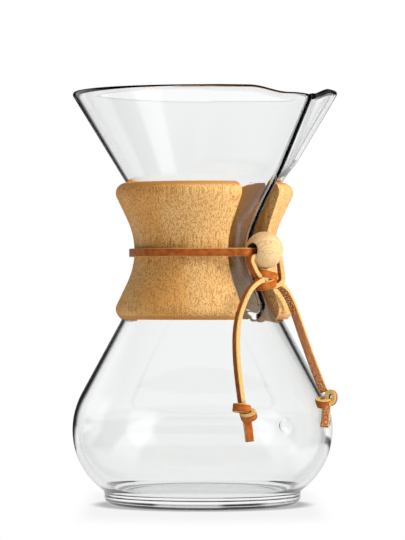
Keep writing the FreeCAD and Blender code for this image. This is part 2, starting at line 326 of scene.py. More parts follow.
class Shading:
    """Makes the nodes of one tree."""

    def __init__(self, tree):
        self.tree = tree

    def node(self, kind, output, settings=None, inputs=None):
        node = self.tree.nodes.new(kind)
        for name, value in (settings or {}).items():
            setattr(node, name, value)
        for name, value in (inputs or {}).items():
            attach(self.tree, node.inputs[name], value)
        return Value(self.tree, node.outputs[output])

    def split(self, vector):
        """The three parts of a vector."""
        parts = self.node("ShaderNodeSeparateXYZ", 0, inputs={"Vector": vector})
        return [Value(self.tree, output) for output in parts.socket.node.outputs]

    def ramp(self, factor, low, high):
        """0 below low, 1 above high, smooth between."""
        return self.node(
            "ShaderNodeMapRange",
            0,
            {"interpolation_type": "SMOOTHSTEP"},
            {"Value": factor, "From Min": low, "From Max": high},
        )

    def rays(self, *names):
        """What the light path says about the ray that looks."""
        return [self.node("ShaderNodeLightPath", name) for name in names]


class Finish(Shading):
    """A material whose varied values feed one Principled shader."""

    def __init__(self, name, constants):
        self.material = bpy.data.materials.new(name)
        self.material.use_nodes = True
        super().__init__(self.material.node_tree)
        self.shader = self.tree.nodes["Principled BSDF"]
        self.feed(constants)

    def feed(self, values):
        for name, value in values.items():
            attach(self.tree, self.shader.inputs[name], value)

    def place(self):
        return self.node("ShaderNodeTexCoord", "Object")

    def moved(self, vector, scale=(1, 1, 1), turn=(0, 0, 0), offset=(0, 0, 0)):
        return self.node(
            "ShaderNodeMapping",
            0,
            inputs={"Vector": vector, "Location": offset, "Rotation": turn, "Scale": scale},
        )

    def noise(self, vector, scale, detail=3.0, roughness=0.5):
        return self.node(
            "ShaderNodeTexNoise",
            0,
            inputs={"Vector": vector, "Scale": scale, "Detail": detail, "Roughness": roughness},
        )

    def mix(self, factor, first, second):
        """The first colour where the factor is 0, the second where it is 1."""
        inputs = {0: factor}
        for place, value in ((6, first), (7, second)):
            inputs[place] = value if isinstance(value, Value) else (*value, 1.0)
        return self.node("ShaderNodeMix", 2, {"data_type": "RGBA"}, inputs)

    def bump(self, height, strength, distance):
        return self.node(
            "ShaderNodeBump",
            "Normal",
            inputs={"Height": height, "Strength": strength, "Distance": distance},
        )


def glass_finish(finishes):
    """Clear blown glass with a trace of waviness."""
    glass = Finish(
        "blown_glass",
        {
            "Base Color": (*finishes.glass_tint, 1.0),
            "Roughness": 0.0,
            "IOR": 1.47,
            "Transmission Weight": 1.0,
        },
    )
    waves = glass.noise(glass.moved(glass.place(), scale=(1, 1, 0.35)), 38.0, detail=1.0)
    glass.feed({"Normal": glass.bump(waves, 0.05, 0.0010)})
    return glass.material


def collar_finish(finishes, collar):
    """Oiled hardwood with fine upright grain, broad figure and dense short dark flecks.

    Inside, on the sawn faces and at the lips it is painted a darker brown as painted shade.
    """
    wood = Finish("collar_wood", {"Specular IOR Level": 0.12})
    place = wood.place()
    figure = wood.noise(wood.moved(place, scale=(1, 1, 0.35)), 32.0, detail=2.0)
    hairs = wood.noise(wood.moved(place, scale=(1, 1, 0.03)), 1400.0, detail=2.0, roughness=0.6)
    flecks = wood.noise(wood.moved(place, scale=(1, 1, 0.4)), 2700.0, detail=1.0)
    crowd = wood.noise(place, 26.0, detail=1.0)
    pores = wood.ramp(flecks + 0.3 * crowd, 0.70, 0.80)
    warm = wood.mix(wood.ramp(figure, 0.38, 0.62), finishes.collar_light, finishes.collar_warm)
    lined = wood.mix(wood.ramp(hairs, 0.46, 0.66) * 0.65, warm, finishes.collar_dark)
    flecked = wood.mix(pores * 0.65, lined, finishes.collar_fleck)
    x, y, z = wood.split(place)
    height = z - collar.level
    flare = 10.5  # Per metre: growth of the skin's radius with the height's square
    within = (x * x + y * y).maths("SQRT") - flare * height * height
    # Painted shade: wood inside the outer skin, on the sawn faces and at the lips, is mixed towards
    # a darker brown.
    skin = wood.ramp(within, collar.waist_radius - 4.0 * MM, collar.waist_radius - 2.0 * MM)
    wood.feed(
        {
            "Base Color": wood.mix((1.0 - skin) * 0.65, flecked, finishes.collar_inside_shade),
            "Roughness": 0.42 + 0.2 * hairs,
            "Normal": wood.bump(hairs - 0.6 * pores, 0.3, 0.0003),
        }
    )
    return wood.material


def bead_finish(finishes, centre, bore_radius):
    """Pale wood whose rings run round a point low on the bead's front, with painted shade in the
    bore.
    """
    wood = Finish("bead_wood", {"Specular IOR Level": 0.4})
    place = wood.moved(wood.place(), offset=tuple(-c for c in centre))
    grain_turn, grain_tilt = 0.466, -0.52
    turned = wood.moved(wood.moved(place, turn=(0, 0, grain_turn)), turn=(0, grain_tilt, 0))
    rings = wood.node(
        "ShaderNodeTexWave",
        "Fac",
        {"wave_type": "RINGS", "rings_direction": "X", "wave_profile": "SAW"},
        {
            "Vector": turned,
            "Scale": 260.0,
            "Distortion": 1.6,
            "Detail": 2.0,
            "Detail Scale": 0.8,
        },
    )
    fibre = wood.noise(wood.moved(turned, scale=(0.15, 1, 1)), 900.0, detail=3.0)
    tone = rings * 0.5 + 0.5 * fibre - 0.12
    base = wood.mix(tone.clamped(), finishes.bead_light, finishes.bead_dark)
    spots = wood.noise(wood.moved(turned, scale=(0.4, 1, 1)), 1100.0, detail=1.0)
    spotted = wood.mix(wood.ramp(spots, 0.62, 0.70) * 0.6, base, finishes.bead_spot)
    x, _, z = wood.split(place)
    # Painted shade: the bore's wall and the inside of its mouths are mixed towards near-black
    # brown.
    shaded_bore = 1.0 - wood.ramp(x * x + z * z, bore_radius**2, (bore_radius + 0.5 * MM) ** 2)
    wood.feed(
        {
            "Base Color": wood.mix(shaded_bore, spotted, finishes.bead_bore_shade),
            "Roughness": 0.45 + 0.15 * fibre,
            "Normal": wood.bump(rings + fibre, 0.15, 0.0002),
        }
    )
    return wood.material


THONG_LEATHER = "thong_leather"


def leather_finish(finishes, tie):
    """Vegetable-tanned thong: smooth grain side, speckled flesh side, pale cut edges.

    The thong's own UV map gives the way along it and the way round its section, in metres.
    """
    leather = Finish(THONG_LEATHER, {"Specular IOR Level": 0.2})
    map_place = leather.node("ShaderNodeUVMap", "UV", {"uv_map": "thong"})
    around = leather.split(map_place)[1]
    ragged = leather.noise(map_place, 2600.0, detail=2.0) * 0.0007 - 0.00035
    rough_around = around + ragged

    def between(low, high, soft=0.00025):
        rise = leather.ramp(rough_around, low - soft, low + soft)
        fall = leather.ramp(rough_around, high - soft, high + soft)
        return rise * (1.0 - fall)

    half = tie.width + tie.thickness
    edges = between(tie.width, half) + between(half + tie.width, 2 * half + MM)
    flesh = between(half, half + tie.width)
    mottle = leather.noise(map_place, 320.0, detail=3.0)
    pores = leather.noise(map_place, 3400.0, detail=1.0)
    fibres = leather.noise(leather.moved(map_place, scale=(0.3, 1, 1)), 2400.0, detail=3.0)
    specks = leather.noise(map_place, 1500.0, detail=2.0)
    grain = leather.mix(
        leather.ramp(mottle, 0.35, 0.7), finishes.grain_side, finishes.grain_patch
    )
    speckled = leather.mix(
        leather.ramp(specks, 0.46, 0.58), finishes.flesh_side, finishes.flesh_speck
    )
    pale = leather.mix(leather.ramp(fibres, 0.40, 0.72), finishes.cut_edge, finishes.cut_fibre)
    sided = leather.mix(flesh, grain, speckled)
    leather.feed(
        {
            "Base Color": leather.mix(edges.clamped(), sided, pale),
            "Roughness": 0.5 + 0.3 * (edges + flesh).clamped(),
            "Normal": leather.bump(
                pores * 0.4 + fibres * (edges + flesh).clamped(), 0.35, 0.0003
            ),
        }
    )
    return leather.material


# Glass vessel

# The side on which the blown funnel stands a little further out, and the cosine of the
# angle to it within which the lean is full.
LEAN_WAY = Vector((0.682, 0.731))
LEAN_FULL = 0.8


def smooth_step(share):
    share = max(0.0, min(1.0, share))
    return share * share * (3 - 2 * share)


def smooth_max(first, second, blend):
    """The larger of two values, rounded where they are within the blend of each other."""
    near = max(blend - abs(first - second), 0.0) / blend
    return max(first, second) + near * near * blend / 4


class Ridge:
    """The pouring channel as a radius that depends on height and angle."""

    def __init__(self, vessel, channel, collar):
        self.vessel = vessel
        self.channel = channel
        self.collar_top = collar.level + collar.height / 2
        toe = (channel.toe_radius - channel.toe_round, channel.toe_level, channel.toe_round)
        neck = (channel.neck_radius + channel.neck_round, channel.neck_level, -channel.neck_round)
        self.slope = funnel_slope(vessel)
        over = vessel.height + 10 * MM
        top_radius = vessel.rim_radius + 10 * MM * self.slope + channel.crest_stand
        start = (toe[0] - 2 * channel.toe_round, toe[1] - 3 * channel.toe_round, 0)
        path = tangent_path([start, toe, neck, (top_radius, over, 0)], 0.05, 0.002)
        self.line = sorted((level, reach) for reach, level in path)
        self.levels = [level for level, _ in self.line]

    def crest(self, level):
        after = bisect_left(self.levels, level)
        if after == 0:
            return None
        if after == len(self.line):
            return self.line[-1][1]
        low, near = self.line[after - 1]
        high, far = self.line[after]
        return near + (far - near) * (level - low) / max(high - low, 1e-9)

    def rise(self, level):
        """0 up to the collar's top, 1 at the rim."""
        return max(0.0, (level - self.collar_top) / (self.vessel.height - self.collar_top))

    def flank(self, rise):
        """Turn of the flanks: it opens soon above the collar, and a little more to the rim."""
        channel = self.channel
        opening = channel.flank_funnel - channel.flank_collar
        widening = channel.flank_rim - channel.flank_funnel
        return channel.flank_collar + opening * smooth_step(rise / 0.22) + widening * rise

    def reach(self, level, angle, inset, base):
        """Radius of the glass at an angle, given the radius of the plain vessel there."""
        crest = self.crest(level)
        if crest is None:
            return base
        centre = crest - self.channel.crest_round
        tip = self.channel.crest_round - inset
        rise = self.rise(level)
        flank = self.flank(rise)
        angle = abs(angle)
        tangent = math.atan2(tip * math.cos(flank), centre + tip * math.sin(flank))
        if angle < tangent:
            inside = tip * tip - (centre * math.sin(angle)) ** 2
            ridge = centre * math.cos(angle) + math.sqrt(max(inside, 0.0))
        else:
            # The flank is straight up to its nearest point to the axis, and falls away past it.
            ridge = centre * math.sin(flank) + tip
            past = flank + angle - math.pi / 2
            ridge *= 1.0 / math.cos(past) if past < 0 else 1.0 - 4.0 * past * past
        blend = self.channel.cheek_blend + rise * (
            self.channel.rim_blend - self.channel.cheek_blend
        )
        return smooth_max(base, ridge, blend)

    def drop(self, ahead, aside):
        """How far the rim dips at a place, given ahead of the axis and to its side."""
        if ahead < 0:
            return 0.0
        channel = self.channel
        narrow = channel.lip_narrow
        dip = smooth_step((channel.lip_wide - abs(aside)) / (channel.lip_wide - narrow))
        notch = max(0.0, 1.0 - abs(aside) / narrow)
        return channel.lip_dip * dip + channel.lip_notch * notch**2


def funnel_slope(vessel):
    """Growth of the funnel's radius with height."""
    rise = vessel.height - vessel.neck_level
    reach = vessel.neck_radius + vessel.neck_round - vessel.rim_radius
    span = math.hypot(reach, rise)
    return math.tan(math.asin(vessel.neck_round / span) - math.atan2(reach, rise))


def vessel_outline(vessel):
    """Half section of the glass, from under the base over the rim to the floor inside."""
    lower = vessel.bulb_radius - vessel.bulb_bottom_round
    upper = vessel.bulb_radius - vessel.bulb_top_round
    neck = vessel.neck_radius + vessel.neck_round
    reach = vessel.foot_radius + vessel.foot_fillet - lower
    fall = math.sqrt((vessel.bulb_bottom_round + vessel.foot_fillet) ** 2 - reach**2)
    bowl = vessel.bulb_bottom_round - vessel.wall
    floor_drop = vessel.bulb_level - vessel.base_wall - vessel.floor_round
    floor_reach = lower + math.sqrt((bowl - vessel.floor_round) ** 2 - floor_drop**2)
    outside = [
        (0, vessel.base_dish, 0),
        (vessel.foot_radius - 3 * vessel.foot_round, vessel.base_dish, 0),
        (vessel.foot_radius - vessel.foot_round, vessel.foot_round, vessel.foot_round),
        (vessel.foot_radius + vessel.foot_fillet, vessel.bulb_level - fall, -vessel.foot_fillet),
        (lower, vessel.bulb_level, vessel.bulb_bottom_round),
        (upper, vessel.bulb_level, vessel.bulb_top_round),
        (neck, vessel.neck_level, -vessel.neck_round),
    ]
    rim = (vessel.rim_radius - vessel.rim_bead - 0.3 * MM, vessel.height - vessel.rim_bead)
    inside = [
        (neck, vessel.neck_level, vessel.neck_round + vessel.wall),
        (upper, vessel.bulb_level, vessel.wall - vessel.bulb_top_round),
        (lower, vessel.bulb_level, vessel.wall - vessel.bulb_bottom_round),
        (floor_reach, vessel.base_wall + vessel.floor_round, -vessel.floor_round),
        (0, vessel.base_wall, 0),
    ]
    path = tangent_path(outside + [(*rim, vessel.rim_bead)], 0.085, 0.0022)
    back = tangent_path([(*rim, vessel.rim_bead)] + inside, 0.085, 0.0022)
    start = Vector(path[-1]) - Vector(rim)
    end = Vector(back[0]) - Vector(rim)
    turn = math.atan2(start.cross(end), start.dot(end)) % (2 * math.pi)
    steps = 14
    heading = math.atan2(start.y, start.x)
    cap = []
    for step in range(1, steps):
        angle = heading + turn * step / steps
        cap.append(
            (
                rim[0] + vessel.rim_bead * math.cos(angle),
                rim[1] + vessel.rim_bead * math.sin(angle),
            )
        )
    insets = [0.0] * len(path)
    insets += [vessel.wall * (step + 1) / steps for step in range(len(cap))]
    insets += [vessel.wall] * len(back)
    return path + cap + back, insets


def build_vessel(settings):
    vessel = settings.vessel
    ridge = Ridge(vessel, settings.channel, settings.collar)
    outline, insets = vessel_outline(vessel)
    bm = bmesh.new()
    inset_layer = bm.verts.layers.float.new("inset")
    line = outline_in(bm, [(radius, 0, level) for radius, level in outline])
    for vert, inset in zip(line, insets):
        vert[inset_layer] = inset
    spun(bm, line, 300)
    crowding = 0.6  # Draws the mesh together at the channel, where it bends most
    slide_start = settings.collar.level + settings.collar.height / 2
    for vert in bm.verts:
        base = math.hypot(vert.co.x, vert.co.y)
        if base < 1e-6:
            continue
        angle = math.atan2(vert.co.y, vert.co.x)
        angle -= crowding * math.sin(angle)
        level = vert.co.z
        inset = vert[inset_layer]
        reach = ridge.reach(level, angle, inset, base)
        share = max(0.0, min(1.0, (level - slide_start) / (vessel.height - slide_start)))
        # The rim's dip and the ridge's reach depend on each other, so each is worked out twice.
        for _ in range(2):
            fall = ridge.drop(reach * math.cos(angle), reach * math.sin(angle)) * share**2
            lowered = base - fall * ridge.slope
            reach = ridge.reach(level - fall, angle, inset, lowered)
        vert.co = (reach * math.cos(angle), reach * math.sin(angle), level - fall)
        leaning = smooth_step(vert.co.xy.normalized().dot(LEAN_WAY) / LEAN_FULL)
        leaning *= smooth_step((level - vessel.lean_level) / vessel.lean_rise)
        vert.co.xy += LEAN_WAY * (vessel.lean * leaning)
    add_button(bm, vessel)
    glass = piece(
        "vessel_glass",
        bm,
        glass_finish(settings.finishes),
        "vessel",
        ["glass_vessel"],
    )
    glass.visible_shadow = False
    return glass


def add_button(bm, vessel):
    """Raises the round level button out of the bulb's outer skin."""
    drop = vessel.button_level - vessel.bulb_level
    surface = vessel.bulb_radius - vessel.bulb_top_round
    surface += math.sqrt(vessel.bulb_top_round**2 - drop**2)
    facing = Vector((math.cos(vessel.button_turn), math.sin(vessel.button_turn), 0))
    across = Vector((-facing.y, facing.x, 0))
    centre = facing * surface + Vector((0, 0, vessel.button_level))
    near = [
        edge
        for edge in bm.edges
        if ((edge.verts[0].co + edge.verts[1].co) / 2 - centre).length < 2 * vessel.button_radius
        and edge.verts[0].co.dot(facing) > surface - vessel.wall / 2
    ]
    bmesh.ops.subdivide_edges(bm, edges=near, cuts=7, use_grid_fill=True)
    for vert in bm.verts:
        offset = vert.co - centre
        if offset.dot(facing) < -vessel.wall / 2:
            continue
        spread = math.hypot(offset.dot(across), offset.z)
        if spread < vessel.button_radius:
            bulge = math.sqrt(1.0 - (spread / vessel.button_radius) ** 2)
            vert.co += facing * (vessel.button_stand * bulge)


# Collar

def build_collar_half(settings, side, name, node, material):
    collar = settings.collar
    vessel = settings.vessel
    low = collar.level - collar.height / 2
    high = collar.level + collar.height / 2
    lip = collar.radius - collar.lip_round
    lower = vessel.bulb_radius - vessel.bulb_top_round
    neck = vessel.neck_radius + vessel.neck_round

    def glass_reach(level):
        """Radius of the hollow round the glass at a height."""
        path = glass_line
        for (r0, z0), (r1, z1) in zip(path, path[1:]):
            if z0 <= level <= z1:
                return r0 + (r1 - r0) * (level - z0) / max(z1 - z0, 1e-9)
        return path[-1][0]

    slope = funnel_slope(vessel)
    above = 20 * MM
    glass_line = tangent_path(
        [
            (lower, vessel.bulb_level, vessel.bulb_top_round + collar.fit),
            (neck, vessel.neck_level, collar.fit - vessel.neck_round),
            (vessel.rim_radius + above * slope, vessel.height + above, collar.fit),
        ],
        0.06,
        0.002,
    )
    inner = [(glass_reach(low), low)]
    inner += [(r, z) for r, z in glass_line if low + 0.5 * MM < z < high - 0.5 * MM]
    inner.append((glass_reach(high), high))
    outer = tangent_path(
        [
            (glass_reach(low), low, 0),
            (lip, low + collar.lip_round, collar.lip_round),
            (collar.waist_radius + collar.waist_round, collar.level, -collar.waist_round),
            (lip, high - collar.lip_round, collar.lip_round),
            (glass_reach(high), high, 0),
        ],
        0.07,
        0.002,
    )
    section = outer + list(reversed(inner))[1:]
    bm = bmesh.new()
    spun(bm, outline_in(bm, [(r, 0, z) for r, z in section]), 180)
    if side > 0:
        bmesh.ops.translate(bm, vec=(0, collar.spread, 0), verts=bm.verts)
    cut = bmesh.ops.bisect_plane(
        bm,
        geom=bm.verts[:] + bm.edges[:] + bm.faces[:],
        dist=1e-7,
        plane_co=(0, side * collar.gap / 2, 0),
        plane_no=(0, -side, 0),
        clear_outer=True,
    )
    rims = [item for item in cut["geom_cut"] if isinstance(item, bmesh.types.BMEdge)]
    caps = bmesh.ops.holes_fill(bm, edges=rims, sides=0)["faces"]
    bmesh.ops.recalc_face_normals(bm, faces=bm.faces)
    sawn = list({edge for face in caps for edge in face.edges})
    rings = [edge for edge in bm.edges if edge.is_manifold and edge.calc_face_angle() > 0.6]
    bmesh.ops.bevel(
        bm,
        geom=list(set(sawn) | set(rings)),
        offset=collar.edge,
        offset_type="OFFSET",
        affect="EDGES",
        segments=3,
        profile=0.5,
        material=-1,
        clamp_overlap=True,
    )
    return piece(name, bm, material, "collar", [node])


# Bead

def bead_centre(settings):
    return Vector((settings.tie.bead_reach, 0, settings.collar.level))


def mouth_reach(tie):
    return math.sqrt(tie.bead_radius**2 - tie.bore_radius**2)


def build_bead(settings):
    tie = settings.tie
    centre = bead_centre(settings)
    bend = tie.mouth_round
    mouth = math.sqrt((tie.bead_radius - bend) ** 2 - (tie.bore_radius + bend) ** 2)
    section = tangent_path(
        [
            (0, tie.bore_radius, 0),
            (-mouth, tie.bore_radius + bend, -bend),
            (0, 0, -tie.bead_radius),
            (mouth, tie.bore_radius + bend, -bend),
            (0, tie.bore_radius, 0),
        ],
        0.06,
        0.001,
    )
    bm = bmesh.new()
    points = [centre + Vector((radius, along, 0)) for along, radius in section]
    spun(bm, outline_in(bm, points), 96, axis=(0, 1, 0), centre=centre)
    material = bead_finish(settings.finishes, centre, tie.bore_radius)
    return piece("bead_ball", bm, material, "bead", ["bead"])


# Thong

def smooth_route(points):
    """Points along the NURBS line that has a route's points as its control points."""
    data = bpy.data.curves.new("route", "CURVE")
    data.dimensions = "3D"
    spline = data.splines.new("NURBS")
    spline.points.add(len(points) - 1)
    for place, point in zip(spline.points, points):
        place.co = (*point, 1.0)
    spline.order_u = 3
    spline.use_endpoint_u = True
    spline.resolution_u = 10
    holder = bpy.data.objects.new("route", data)
    mesh = bpy.data.meshes.new_from_object(holder)
    line = [vert.co.copy() for vert in mesh.vertices]
    bpy.data.objects.remove(holder)
    bpy.data.curves.remove(data)
    bpy.data.meshes.remove(mesh)
    return line


def section_points(tie):
    """The thong's section, grain side first, and the way round it at each point."""
    w, t, e = tie.width / 2, tie.thickness / 2, tie.edge
    corners = [(w, t), (-w, t), (-w, -t), (w, -t)]
    places = []
    around = []
    travelled = 0.0
    for index, (a, b) in enumerate(corners):
        after = corners[(index + 1) % 4]
        run = Vector((after[0] - a, after[1] - b))
        size = run.length
        run.normalize()
        inward = Vector((-run.y, run.x))
        for step in (e, 0.33 * size, 0.67 * size, size - e):
            places.append(Vector((a, b)) + run * step)
            around.append(travelled + step)
        places.append(Vector((a, b)) + run * (size - 0.3 * e) + inward * 0.3 * e)
        around.append(travelled + size)
        travelled += size
    return places, around, travelled


def thong(name, line, facings, tie, material, nodes, closed=False):
    """Flat thong along a line of points; facings are the ways that its grain side looks."""
    places, around, perimeter = section_points(tie)
    count = len(line)
    bm = bmesh.new()
    uv = bm.loops.layers.uv.new("thong")
    ring_layer = bm.verts.layers.int.new("ring")
    place_layer = bm.verts.layers.int.new("place")

    def station(index):
        if closed:
            before, after = line[index - 1], line[(index + 1) % count]
        else:
            before, after = line[max(index - 1, 0)], line[min(index + 1, count - 1)]
        along = (after - before).normalized()
        across = along.cross(facings[index]).normalized()
        outward = across.cross(along).normalized()
        return [line[index] + across * -a + outward * b for a, b in places]

    first = [bm.verts.new(point) for point in station(0)]
    for place, vert in enumerate(first):
        vert[place_layer] = place
    size = len(first)
    ring = [bm.edges.new((first[i], first[(i + 1) % size])) for i in range(size)]
    start_ring = ring
    travelled = [0.0]
    for index in range(1, count):
        travelled.append(travelled[-1] + (line[index] - line[index - 1]).length)
        grown = bmesh.ops.extrude_edge_only(bm, edges=ring)["geom"]
        verts = [item for item in grown if isinstance(item, bmesh.types.BMVert)]
        ring = [item for item in grown if isinstance(item, bmesh.types.BMEdge)]
        targets = station(index)
        for vert in verts:
            vert.co = targets[vert[place_layer]]
            vert[ring_layer] = index
        ring = [edge for edge in ring if all(v[ring_layer] == index for v in edge.verts)]
    if closed:
        bmesh.ops.bridge_loops(bm, edges=start_ring + ring)
    else:
        bmesh.ops.holes_fill(bm, edges=start_ring + ring, sides=0)
    bmesh.ops.recalc_face_normals(bm, faces=bm.faces)
    total = travelled[-1] + (line[0] - line[-1]).length
    for face in bm.faces:
        rings = [vert[ring_layer] for vert in face.verts]
        turns = {vert[place_layer] for vert in face.verts}
        wraps = 0 in turns and size - 1 in turns and len(turns) == 2
        joins = closed and 0 in rings and count - 1 in rings
        is_end = len(turns) > 2
        for loop in face.loops:
            ring_index = loop.vert[ring_layer]
            u = total if joins and ring_index == 0 else travelled[ring_index]
            v = around[loop.vert[place_layer]]
            if wraps and loop.vert[place_layer] == 0:
                v = perimeter + around[0]
            if is_end:
                u, v = u + v, tie.width + tie.thickness / 2
            loop[uv].uv = (u, v)
    return piece(name, bm, material, "tie", nodes)


def radial_facings(line, centre, axis):
    """Grain side looks away from an axis."""
    axis = Vector(axis).normalized()
    facings = []
    for point in line:
        offset = point - Vector(centre)
        facings.append((offset - axis * offset.dot(axis)).normalized())
    return facings


def turning_facings(line, stops):
    """Grain side turns steadily between directions given at shares of the length."""
    facings = []
    for index in range(len(line)):
        share = index / (len(line) - 1)
        for (low, before), (high, after) in zip(stops, stops[1:]):
            if share <= high:
                turn = (share - low) / (high - low)
                facings.append(Vector(before).lerp(Vector(after), turn).normalized())
                break
    return facings


def level_facings(line, side):
    """The thong's width stays level; its grain side looks outwards where it bends down."""
    facings = []
    for index in range(len(line)):
        along = line[min(index + 1, len(line) - 1)] - line[max(index - 1, 0)]
        facings.append(Vector((-side, 0, 0)).cross(-along).normalized())
    return facings


# Where the half knot's middle lies from the bead's centre, in millimetres.
KNOT_PLACE = (1.35, 0.5, -14.8)

# Control points of the thong's free runs, measured in the same way.
ROUTES = {
    "left_strand": [
        (0.5, -6.5, -2.9),
        (0.4, -9.2, -3.0),
        (0.1, -10.3, -4.9),
        (0.0, -8.5, -8.0),
        (0.4, -6.9, -11.2),
        (1.5, -4.9, -14.3),
        (3.3, -1.2, -14.4),
    ],
    "right_strand": [
        (-0.8, 6.5, -2.1),
        (-0.3, 10.5, -2.0),
        (1.2, 9.9, -6.5),
        (2.1, 9.8, -11.0),
        (3.2, 9.6, -15.4),
        (3.7, 6.1, -18.2),
        (2.8, 2.2, -18.0),
    ],
    "left_tail": [
        (3.05, -5.0, -14.8),
        (3.65, -12.0, -17.6),
        (2.95, -16.6, -24.6),
        (2.95, -21.0, -33.7),
        (4.95, -24.6, -44.2),
        (9.75, -28.0, -60.8),
        (15.15, -29.9, -77.2),
    ],
    "right_tail": [
        (-0.45, 5.4, -14.9),
        (-1.05, 12.4, -17.3),
        (0.75, 16.8, -23.6),
        (2.75, 19.6, -32.4),
        (5.65, 21.9, -43.6),
        (9.75, 25.0, -57.8),
        (14.35, 28.1, -71.8),
    ],
    "left_end": [(17.85, -29.8, -82.2), (18.05, -28.2, -88.6), (17.75, -27.2, -94.8)],
    "right_end": [(17.25, 27.2, -76.8), (18.55, 25.4, -83.0), (18.95, 23.9, -89.2)],
}


def route(settings, name):
    """A route of the thong, measured from the bead's centre, as a smooth line."""
    centre = bead_centre(settings)
    return smooth_route([centre + Vector(point) * MM for point in ROUTES[name]])


def build_band(settings, material):
    tie = settings.tie
    collar = settings.collar
    centre = bead_centre(settings)
    waist = collar.waist_radius + tie.fit + tie.thickness / 2
    strand = centre.x - tie.thickness / 2 - 0.05 * MM
    bend = mouth_reach(tie) + tie.fit
    circles = [
        (strand, 0, 0),
        (strand - tie.mouth_bend, bend, tie.mouth_bend),
        (0, collar.spread, waist + tie.ease),
        (0, 0, waist),
        (strand - tie.mouth_bend, -bend, tie.mouth_bend),
        (strand, 0, 0),
    ]
    path = tangent_path(circles, 0.05, 0.0015)[:-1]
    line = [Vector((x, y, collar.level - tie.sag)) for x, y in path]
    facings = []
    for index in range(len(line)):
        along = line[(index + 1) % len(line)] - line[index - 1]
        facings.append(along.cross(Vector((0, 0, 1))).normalized())
    return thong("thong_band", line, facings, tie, material, ["tie_band"], closed=True)


def thong_loop(name, centre, axis, wide_way, wide, deep, tie, material, node):
    """An oval loop of the thong round an axis, given its outer width and depth."""
    axis = Vector(axis).normalized()
    deep_way = axis.cross(Vector(wide_way)).normalized()
    wide_way = deep_way.cross(axis)
    steps = 40
    line = []
    for step in range(steps):
        angle = 2 * math.pi * step / steps
        line.append(
            centre
            + wide_way * (math.cos(angle) * (wide - tie.thickness) / 2)
            + deep_way * (math.sin(angle) * (deep - tie.thickness) / 2)
        )
    facings = radial_facings(line, centre, axis)
    return thong(name, line, facings, tie, material, [node], closed=True)


def build_half_knot(settings, material):
    """The two ends below the bead and the half knot that they tie."""
    tie = settings.tie
    centre = bead_centre(settings)
    knot_centre = centre + Vector(KNOT_PLACE) * MM
    left = route(settings, "left_strand")
    right = route(settings, "right_strand")
    ear_axis = Vector((0.73, -0.68, 0))
    pieces = [
        thong(
            "thong_left_strand", left, level_facings(left, -1), tie, material, ["tie_knot"]
        ),
        thong(
            "thong_right_strand",
            right,
            [facing - 0.45 * ear_axis for facing in radial_facings(right, knot_centre, ear_axis)],
            tie,
            material,
            ["tie_knot"],
        ),
    ]
    for name, sign in (("upper", 1), ("lower", -1)):
        pieces.append(
            thong_loop(
                f"thong_{name}_turn",
                knot_centre + Vector((0, 0, sign * tie.knot_rise)),
                (0, 0.23 * sign, 1),
                (0, 1, 0),
                tie.knot_wide,
                tie.knot_deep,
                tie,
                material,
                "tie_knot",
            )
        )
    return pieces


# Place of each stopper knot from the bead's centre, and the way that the grain side of the
# cut end below it looks.
STOPPERS = {
    "left": ((17.55, -30.6, -79.3), (0.9, -0.43, 0)),
    "right": ((16.65, 28.0, -75.6), (-0.6, 0.8, 0)),
}

# Place from the knot's middle, axis, way of the width, width and depth of each loop.
STOPPER_LOOPS = {
    "left": (
        ((-0.95, -1.0, 0.9), (-0.04, 0.18, 1), (0.68, 0.73, 0), 9.0, 7.2),
        ((1.8, 1.0, -2.4), (0.34, -0.66, 0.8), (0.68, 0.73, 0), 8.4, 6.6),
    ),
    "right": (
        ((-1.4, -1.5, -1.3), (0.26, -0.24, 1), (0.68, 0.73, 0), 8.6, 7.0),
        ((1.0, 1.8, 1.2), (0.53, -0.90, 0.1), (0, 0, 1), 8.2, 6.2),
    ),
}


def build_stopper(settings, material, side_name):
    """Overhand knot near the end of a tail, and the short cut end below it."""
    tie = settings.tie
    place, end_facing = STOPPERS[side_name]
    centre = bead_centre(settings)
    knot_centre = centre + Vector(place) * MM
    pieces = []
    for number, loop in enumerate(STOPPER_LOOPS[side_name], 1):
        offset, axis, wide_way, wide, deep = loop
        pieces.append(
            thong_loop(
                f"thong_{side_name}_stopper_{number}",
                knot_centre + Vector(offset) * MM,
                axis,
                wide_way,
                wide * MM,
                deep * MM,
                tie,
                material,
                "stopper_knot_" + side_name,
            )
        )
    ends = [centre + Vector(point) * MM for point in ROUTES[side_name + "_end"]]
    line = smooth_route([knot_centre] + ends)
    facings = [Vector(end_facing)] * len(line)
    pieces.append(
        thong(f"thong_{side_name}_end", line, facings, tie, material, ["tie_end_" + side_name])
    )
    return pieces


# Ways that the grain side of each tail looks at shares of its length, and that length in
# metres, as the photograph shows it end to end.
TAILS = {
    "left": (
        [(0.0, (0, -0.1, 1)), (0.22, (-0.24, -0.97, 0.3)), (1.0, (-0.24, -0.97, 0))],
        0.0720,
    ),
    "right": (
        [(0.0, (0, 0.3, 1)), (0.22, (-0.37, 0.93, 0.3)), (1.0, (-0.60, 0.80, 0))],
        0.0664,
    ),
}


def build_tail(settings, material, side_name):
    """A hanging tail, from the half knot to its stopper knot."""
    tie = settings.tie
    turns, tail_length = TAILS[side_name]
    line = route(settings, side_name + "_tail")
    facings = turning_facings(line, turns)
    node = "tie_tail_" + side_name
    tail = thong(f"thong_{side_name}_tail", line, facings, tie, material, [node])
    return tail


# Stage

VIEW_AZIMUTH = math.radians(47.0)
CAMERA_DISTANCE = 1.666
CAMERA_HEIGHT = 0.1102
AIM_HEIGHT = 0.1205
LENS = 216.0


